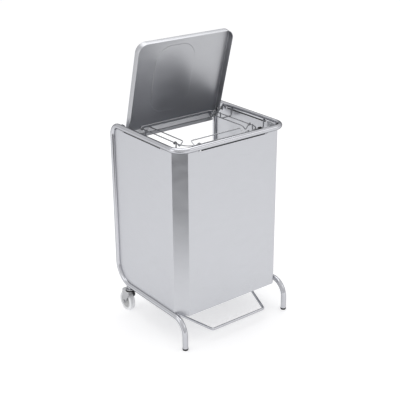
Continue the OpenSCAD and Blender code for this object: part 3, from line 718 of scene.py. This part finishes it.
def make_lid_rail():
    """Three-cornered rail under the lid's rear edge, in a much lighter copy of the satin sheet: painted
    light.
    """
    z, y0, y1, drop = LID_TOP - SHEET, LID_BACK - 24, LID_BACK - 4, 7
    half = ARM_X - 2
    rail = plate([(y0, z), (y1, z), (y1, z - drop)], 2 * half, (-half, 0, 0), (0, 1, 0), (0, 0, 1))
    points, faces, grain = rail
    rail = points, faces, [(w, u, v) for u, v, w in grain]
    piece("lid_rail", opened(rail), "lightened_rail_sheet", "lid", "lid_stiffener", bevel=0.8, slot="satin_sheet")


def make_rod_bracket():
    """Bracket on the lid and the pin that the pull rod's upper eye hangs on."""
    hook_y = PIVOT_Y + HOOK_R
    drawn = lug_outline(8, LID_TOP - SHEET - PIVOT_Z, 0.1)
    lug = plate(drawn, 3, (BRACKET_X, hook_y, PIVOT_Z), (0, 1, 0), (0, 0, 1))
    piece("rod_bracket", opened(lug), "polished_tube", "lid", "rod_lug", bevel=0.4)
    shank = x_turned(BRACKET_X, LINK_HEAD_X, hook_y, PIVOT_Z, LINK_PIN_R, 0.2)
    head = x_turned(LINK_HEAD_X, LINK_HEAD_X + 2, hook_y, PIVOT_Z, LINK_HEAD_R, 0.6)
    piece("rod_top_pin", opened(together(shank, head)), "bright_wire", "lid", "hook_pin")


# pedal and rod --------------------------------------------------------------------------
def make_pedal():
    rise, run = SHAFT_Z - PEDAL_Z, SHAFT_Y - PEDAL_Y
    tilt, length = math.atan2(rise, run), math.hypot(rise, run)
    knee = (ARM_X - PEDAL_HALF) / math.tan(SPLAY)
    end = length - SHAFT_R + 1
    flat = [(-ARM_X, end), (-ARM_X, knee), (-PEDAL_HALF, 0), (PEDAL_HALF, 0), (ARM_X, knee), (ARM_X, end)]
    corners = [(x, PEDAL_Y + y * math.cos(tilt), PEDAL_Z + y * math.sin(tilt)) for x, y in flat]
    path = bent(corners, (0, KNEE_R, TOE_R, TOE_R, KNEE_R, 0), step=math.radians(5))
    join_y, join_z = SHAFT_Y - SHAFT_R * math.cos(tilt), SHAFT_Z - SHAFT_R * math.sin(tilt)
    up_arm = (0, math.cos(tilt), math.sin(tilt))
    welds = [weld_ring((s * ARM_X, join_y, join_z), up_arm, PEDAL_R, 2.6, 0.8) for _, s in SIDES]
    piece("pedal_bar", together(sweep(path, PEDAL_R, sides=32), *welds), "polished_tube", "pedal",
          "pedal_loop")
    beam_z = box_mm("cross_tube_rear")[0].z + 10
    for side, s in SIDES:
        bore, long = PEDAL_PIN_R + 0.1, 14
        profile = [(bore, 0), (SHAFT_R - 0.8, 0), (SHAFT_R, 0.8), (SHAFT_R, long - 0.8),
                   (SHAFT_R - 0.8, long), (bore, long)]
        bush = lathe(profile, (ARM_X - 7, SHAFT_Y, SHAFT_Z), (1, 0, 0), 44)
        piece(f"pedal_sleeve_{side}", mirrored(bush, s), "polished_tube", "pedal", f"pedal_bush_{side}")
        drawn = lug_outline(LUG_R, beam_z - SHAFT_Z - 4)
        lug = plate(drawn, 4, (ARM_X + 8.5, SHAFT_Y, SHAFT_Z), (0, 1, 0), (0, 0, 1))
        piece(f"pedal_hanger_{side}", mirrored(lug, s), "polished_tube", "frame", f"pedal_lug_{side}",
              bevel=0.6)
        shank = x_turned(ARM_X - 8.2, ARM_X + 12.5, SHAFT_Y, SHAFT_Z, PEDAL_PIN_R)
        head = x_turned(ARM_X - 11, ARM_X - 8, SHAFT_Y, SHAFT_Z, 8, 1.0)
        piece(f"pedal_axle_{side}", mirrored(together(shank, head), s), "bright_wire", "frame",
              f"pedal_pin_{side}")


def eye_path(radius):
    """Wire curled into an eye about (0, 0, 0) in the plane of Y and Z, ending where the rod rises."""
    steps, first, last = 26, math.radians(28), math.radians(-245)
    turns = [first + (last - first) * k / steps for k in range(steps + 1)]
    return [Vector((0, radius * math.cos(a), radius * math.sin(a))) for a in turns]


def make_rod():
    """Pull rod from the pedal to the lid. Its upper eye hangs a little slack on the pin, as in the CAD."""
    slope = (SHAFT_Z - PEDAL_Z) / (SHAFT_Y - PEDAL_Y)
    link = Vector((LINK_X, LINK_Y, PEDAL_Z + (LINK_Y - PEDAL_Y) * slope))
    hook = Vector((LINK_X, PIVOT_Y + HOOK_R * math.cos(LID_OPEN), PIVOT_Z - HOOK_R * math.sin(LID_OPEN)))
    reach = hook - link
    slack_lean, slack_length = math.radians(0.18), 0.75
    lean = math.atan2(reach.y, reach.z) + slack_lean
    length = math.hypot(reach.y, reach.z) - slack_length
    up = Vector((0, 0, length))
    low = eye_path(LOW_EYE)
    top = [up - p for p in reversed(eye_path(TOP_EYE))]
    low_neck, top_neck = Vector((0, 0, 1.1 * LOW_EYE)), up - Vector((0, 0, 1.1 * TOP_EYE))
    line = bent([low[-1], low_neck, top_neck, top[0]], (0, 4, 5, 0), step=math.radians(9))
    turn = Matrix.Translation(link) @ Matrix.Rotation(-lean, 4, "X")
    rod = placed(sweep(low[:-1] + line + top[1:], ROD_R, sides=20), turn)
    piece("lift_rod", rod, "bright_wire", "pull_rod_body", "pull_rod")
    shank = x_turned(ARM_X - 4, LINK_HEAD_X, link.y, link.z, LINK_PIN_R, 0.2)
    head = x_turned(LINK_HEAD_X, LINK_HEAD_X + 2, link.y, link.z, LINK_HEAD_R, 0.6)
    piece("rod_low_pin", together(shank, head), "bright_wire", "pedal", "rod_pin")


# castors ----------------------------------------------------------------------------------
def fork_low(x):
    """Height of the lower edge of a fork leg at x, measured from the swivel axis."""
    behind, ahead, steep = TRAIL - FORK_EYE_R, TRAIL + FORK_EYE_R, 20
    if x < behind:
        return FORK_REAR_Z - (x - FORK_REAR) / (behind - FORK_REAR) * (FORK_REAR_Z - WHEEL_R)
    if x <= ahead:
        return WHEEL_R - math.sqrt(max(0.0, FORK_EYE_R ** 2 - (x - TRAIL) ** 2))
    return WHEEL_R + (x - ahead) * steep


def fork_shell():
    """Pressed fork: a U of sheet over the wheel, wide at the crown and narrow at the axle."""
    out, top, fold = LEG_IN + LEG_T, CROWN_TOP, 8
    points, grain = [], []
    round_end = [TRAIL - FORK_EYE_R * math.cos(math.radians(a)) for a in range(15, 180, 15)]
    stations = [FORK_REAR, -8, -2, 4, 10, 14, 18] + round_end + [42, 43, 44]
    for x in stations:
        low = fork_low(x)
        outer = bent([(0, -out, low), (0, -out, top), (0, out, top), (0, out, low)], (0, fold, fold, 0),
                     step=math.radians(15))
        inner_fold = fold - LEG_T
        inner = bent([(0, -out + LEG_T, low), (0, -out + LEG_T, top - LEG_T),
                      (0, out - LEG_T, top - LEG_T), (0, out - LEG_T, low)],
                     (0, inner_fold, inner_fold, 0), step=math.radians(15))
        for p in outer + inner[::-1]:
            points.append((x, p.y, p.z))
            grain.append((x, p.y, p.z))
    size = len(points) // len(stations)
    rings = [points[i * size:(i + 1) * size] for i in range(len(stations))]
    return points, stack(rings), grain


def make_fork(side, swivel):
    """Fork with its crown and axle bosses, and the black cover with its hood."""
    top, body = CROWN_TOP, f"castor_{side}"
    crown = lathe([(5.1, CROWN_Z), (21, CROWN_Z), (23.2, CROWN_Z + 0.8), (24, CROWN_Z + 2),
                   (23.4, CROWN_Z + 3.2), (21.5, top), (5.1, top)], (0, 0, 0), sides=56)
    boss = [(4.1, 0), (9.5, 0), (10.5, 0.8), (9.5, 1.4), (4.1, 1.4)]
    leg_face = LEG_IN + LEG_T - 0.6
    bosses = [lathe(boss, (TRAIL, d * leg_face, WHEEL_R), (0, d, 0), 36) for d in (-1, 1)]
    fork = together(fork_shell(), crown, *bosses)
    piece(f"castor_fork_{side}", placed(fork, swivel), "plated_castor", body, f"fork_{side}", bevel=0.5)

    cover = lathe([(8.6, top + 0.1), (22, top + 0.1), (23, top + 1), (23, top + 3.4), (22, top + 5.2),
                   (19.5, top + 6), (8.6, top + 6)], (0, 0, 0), sides=56)
    section = [(16, top + 5.4), (26, top + 3.5), (30, top + 2.2), (33.5, top - 5), (35.8, top - 12),
               (34.8, top - 14), (33, top - 13.5), (27.5, top - 2), (25.5, top + 0.5), (16, top + 0.5)]
    hood = lathe(section, (0, 0, 0), sides=16, start=math.radians(172), arc=math.radians(16))
    black = placed(together(cover, hood), swivel)
    piece(f"castor_cover_{side}", black, "foot_black", body, f"dust_cap_{side}")


def make_wheel(side, on_axle):
    """Axle bolt with its nut, then hub and tyre, each turned from one half of its section."""
    bolt_w = LEG_IN + LEG_T
    shank = lathe([(0, -bolt_w), (4, -bolt_w), (4, bolt_w), (0, bolt_w)], (0, 0, 0), sides=32)
    head = lathe([(0, 0), (7, 0), (7, 1.2), (5.8, 2.4), (3.5, 3), (0, 3)], (0, 0, bolt_w), sides=36)
    nut = lathe([(0, -5), (6.4, -5), (7.5, -4.3), (7.5, 0), (0, 0)], (0, 0, -bolt_w), sides=6)
    bolt = placed(together(shank, head, nut), on_axle)
    piece(f"wheel_axle_{side}", bolt, "plated_castor", f"castor_{side}", f"axle_{side}")

    t, r, body = TYRE_W / 2, WHEEL_R - 14, f"wheel_{side}"
    half = [(r, t - 3), (r - 1, t - 2.2), (r - 4, t - 2.6), (r - 7, 6.5), (24, 5.5), (20, 6.5),
            (18.5, 9), (16.5, 10), (11, 10.5), (9.5, 12.5), (9, t + 1.6), (8.4, t + 2), (4.1, t + 2)]
    hub = lathe(half + [(x, -z) for x, z in reversed(half)], (0, 0, 0), sides=64)
    piece(f"wheel_hub_{side}", placed(hub, on_axle), "grey_nylon", body, f"hub_{side}", sharp=60)
    half = [(r, t - 3), (r + 3.4, t - 2.9), (r + 4.2, t - 0.6), (r + 5, t), (r + 8.6, t),
            (r + 10.5, t - 0.8), (r + 12.3, t - 2.4), (r + 13.4, t - 4.6), (r + 13.9, t - 8),
            (r + 14, t - 11)]
    tyre = lathe(half + [(x, -z) for x, z in reversed(half)], (0, 0, 0), sides=96)
    piece(f"wheel_tyre_{side}", placed(tyre, on_axle), "pale_tyre", body, f"tyre_{side}", sharp=60)


def make_socket(side, at):
    """Post under the side tube with its weld, and the spindle that the castor turns on."""
    post = lathe([(0, SOCKET_Z), (10.4, SOCKET_Z), (11, SOCKET_Z + 0.6), (11, BASE_Z - 4),
                  (0, BASE_Z - 4)], at)
    bead = lathe([(10.5, BASE_Z - 9.6), (12, BASE_Z - 10.4), (11.9, BASE_Z - 8.6), (10.8, BASE_Z - 6),
                  (10.5, BASE_Z - 6)], at)
    socket = together(post, bead)
    piece(f"castor_post_{side}", socket, "polished_tube", "frame", f"castor_socket_{side}")
    seat, low = CROWN_TOP + 0.4, CROWN_Z - 4
    race = lathe([(0, RACE_Z), (18.5, RACE_Z), (20, RACE_Z + 0.8), (20, SOCKET_Z - 0.6),
                  (19.4, SOCKET_Z), (0, SOCKET_Z)], at, sides=56)
    spindle = lathe([(0, seat), (8, seat), (8, RACE_Z), (0, RACE_Z)], at)
    king = lathe([(0, low), (5, low), (5, seat), (0, seat)], at, sides=32)
    nut = lathe([(0, low), (7.6, low), (8.5, CROWN_Z - 3.4), (8.5, CROWN_Z - 0.4),
                 (0, CROWN_Z - 0.4)], at, sides=6)
    stud = together(race, spindle, king, nut)
    piece(f"castor_spindle_{side}", stud, "plated_castor", "frame", f"castor_stud_{side}")


def make_castors():
    for side, s in SIDES:
        heading = CASTOR_DIR if s < 0 else math.pi - CASTOR_DIR
        swivel = Matrix.Translation((s * HALF_W, CASTOR_Y, 0)) @ Matrix.Rotation(heading, 4, "Z")
        on_axle = swivel @ Matrix.Translation((TRAIL, 0, WHEEL_R)) @ Matrix.Rotation(math.pi / 2, 4, "X")
        make_fork(side, swivel)
        make_wheel(side, on_axle)
        make_socket(side, (s * HALF_W, CASTOR_Y, 0))


make_tubes()
make_cladding()
make_floor()
make_slot_shade_strips()
make_weld_tabs()
make_cross_tubes()
make_lid_hinges()
make_bag_ring()
make_struts()
make_swing_wires()
make_lid_tray()
make_lid_rail()
make_rod_bracket()
make_pedal()
make_rod()
make_castors()


# studio -----------------------------------------------------------------------------------
def make_floor_stage():
    """Large pale floor that glows with painted light, as in a bright studio, with a painted shadow of the
    photographer: a dim round patch in its glow and its colour.
    """
    size = 60
    mesh = bpy.data.meshes.new("studio_floor")
    mesh.from_pydata([(-size, -size, 0), (size, -size, 0), (size, size, 0), (-size, size, 0)], [],
                     [(0, 1, 2, 3)])
    floor = bpy.data.objects.new("studio_floor", mesh)
    bpy.context.scene.collection.objects.link(floor)
    material = bpy.data.materials.new("studio_floor")
    material.use_nodes = True
    tree = material.node_tree
    shader = tree.nodes["Principled BSDF"]
    shader.inputs["Roughness"].default_value = 0.8
    shader.inputs["Specular IOR Level"].default_value = 0.1
    place = tree.nodes.new("ShaderNodeTexCoord")
    away = tree.nodes.new("ShaderNodeVectorMath")
    away.operation = "DISTANCE"
    away.inputs[1].default_value = (-2.6, -2.0, 0)
    # painted shadow of the photographer: a soft round patch that darkens the floor near the camera
    photographer_shadow = tree.nodes.new("ShaderNodeMapRange")
    photographer_shadow.interpolation_type = "SMOOTHSTEP"
    for name, value in (("From Min", 1.1), ("From Max", 2.4), ("To Min", 1.0), ("To Max", 0.0)):
        photographer_shadow.inputs[name].default_value = value
    # painted light: the floor's own glow, dimmed inside the painted shadow
    glow = tree.nodes.new("ShaderNodeMixRGB")
    glow.inputs["Color1"].default_value = (0.48, 0.48, 0.485, 1)
    glow.inputs["Color2"].default_value = (0.03, 0.03, 0.032, 1)
    # floor colour with the painted shadow: much darker inside the round patch
    shadowed_floor_colour = tree.nodes.new("ShaderNodeMixRGB")
    shadowed_floor_colour.inputs["Color1"].default_value = (0.62, 0.62, 0.62, 1)
    shadowed_floor_colour.inputs["Color2"].default_value = (0.12, 0.12, 0.123, 1)
    tree.links.new(place.outputs["Object"], away.inputs[0])
    tree.links.new(away.outputs["Value"], photographer_shadow.inputs["Value"])
    for blend, target in ((glow, "Emission Color"), (shadowed_floor_colour, "Base Color")):
        tree.links.new(photographer_shadow.outputs["Result"], blend.inputs["Fac"])
        tree.links.new(blend.outputs["Color"], shader.inputs[target])
    shader.inputs["Emission Strength"].default_value = 1.0
    mesh.materials.append(material)


def make_world():
    """Soft light from all round, brighter overhead."""
    world = bpy.data.worlds.new("studio")
    bpy.context.scene.world = world
    world.use_nodes = True
    tree = world.node_tree
    back = tree.nodes["Background"]
    place = tree.nodes.new("ShaderNodeTexCoord")
    split = tree.nodes.new("ShaderNodeSeparateXYZ")
    ramp = tree.nodes.new("ShaderNodeValToRGB")
    ramp.color_ramp.elements[0].position = 0.0
    ramp.color_ramp.elements[0].color = (0.80, 0.80, 0.81, 1)
    ramp.color_ramp.elements[1].position = 0.9
    ramp.color_ramp.elements[1].color = (1.0, 1.0, 1.0, 1)
    tree.links.new(place.outputs["Generated"], split.inputs[0])
    tree.links.new(split.outputs["Z"], ramp.inputs["Fac"])
    tree.links.new(ramp.outputs["Color"], back.inputs["Color"])
    back.inputs["Strength"].default_value = 0.9


def make_light(name, place, target, size, power):
    data = bpy.data.lights.new(name, "AREA")
    data.shape = "RECTANGLE"
    data.size, data.size_y = size
    data.energy = power
    light = bpy.data.objects.new(name, data)
    light.location = place
    light.rotation_euler = (Vector(target) - Vector(place)).to_track_quat("-Z", "Y").to_euler()
    bpy.context.scene.collection.objects.link(light)


def make_camera():
    """Camera from the left front and above, level except for a slight roll."""
    yaw, pitch, roll = math.radians(37.567), math.radians(22.75), -0.0064
    ahead = Vector((math.sin(yaw) * math.cos(pitch), math.cos(yaw) * math.cos(pitch), -math.sin(pitch)))
    right = Vector((math.cos(yaw), -math.sin(yaw), 0))
    up = right.cross(ahead)
    right, up = right * math.cos(roll) + up * math.sin(roll), up * math.cos(roll) - right * math.sin(roll)
    data = bpy.data.cameras.new("camera")
    data.sensor_width = 36
    data.lens = 79.1
    camera = bpy.data.objects.new("camera", data)
    turn = Matrix((right, up, -ahead)).transposed().to_4x4()
    camera.matrix_world = Matrix.Translation((-2.3252, -3.011, 2.1667)) @ turn
    bpy.context.scene.collection.objects.link(camera)
    bpy.context.scene.camera = camera


make_floor_stage()
make_world()
make_light("softbox_top", (0.3, 0.4, 3.2), (0, 0, 0.6), (2.4, 2.4), 26)
make_light("softbox_left", (-3.4, 0.6, 1.9), (0, 0, 0.6), (1.6, 2.2), 10)
make_light("softbox_right", (2.3, -3.1, 2.5), (0, 0, 0.9), (2.6, 1.6), 9)
make_camera()
bpy.context.scene.view_settings.view_transform = "Standard"
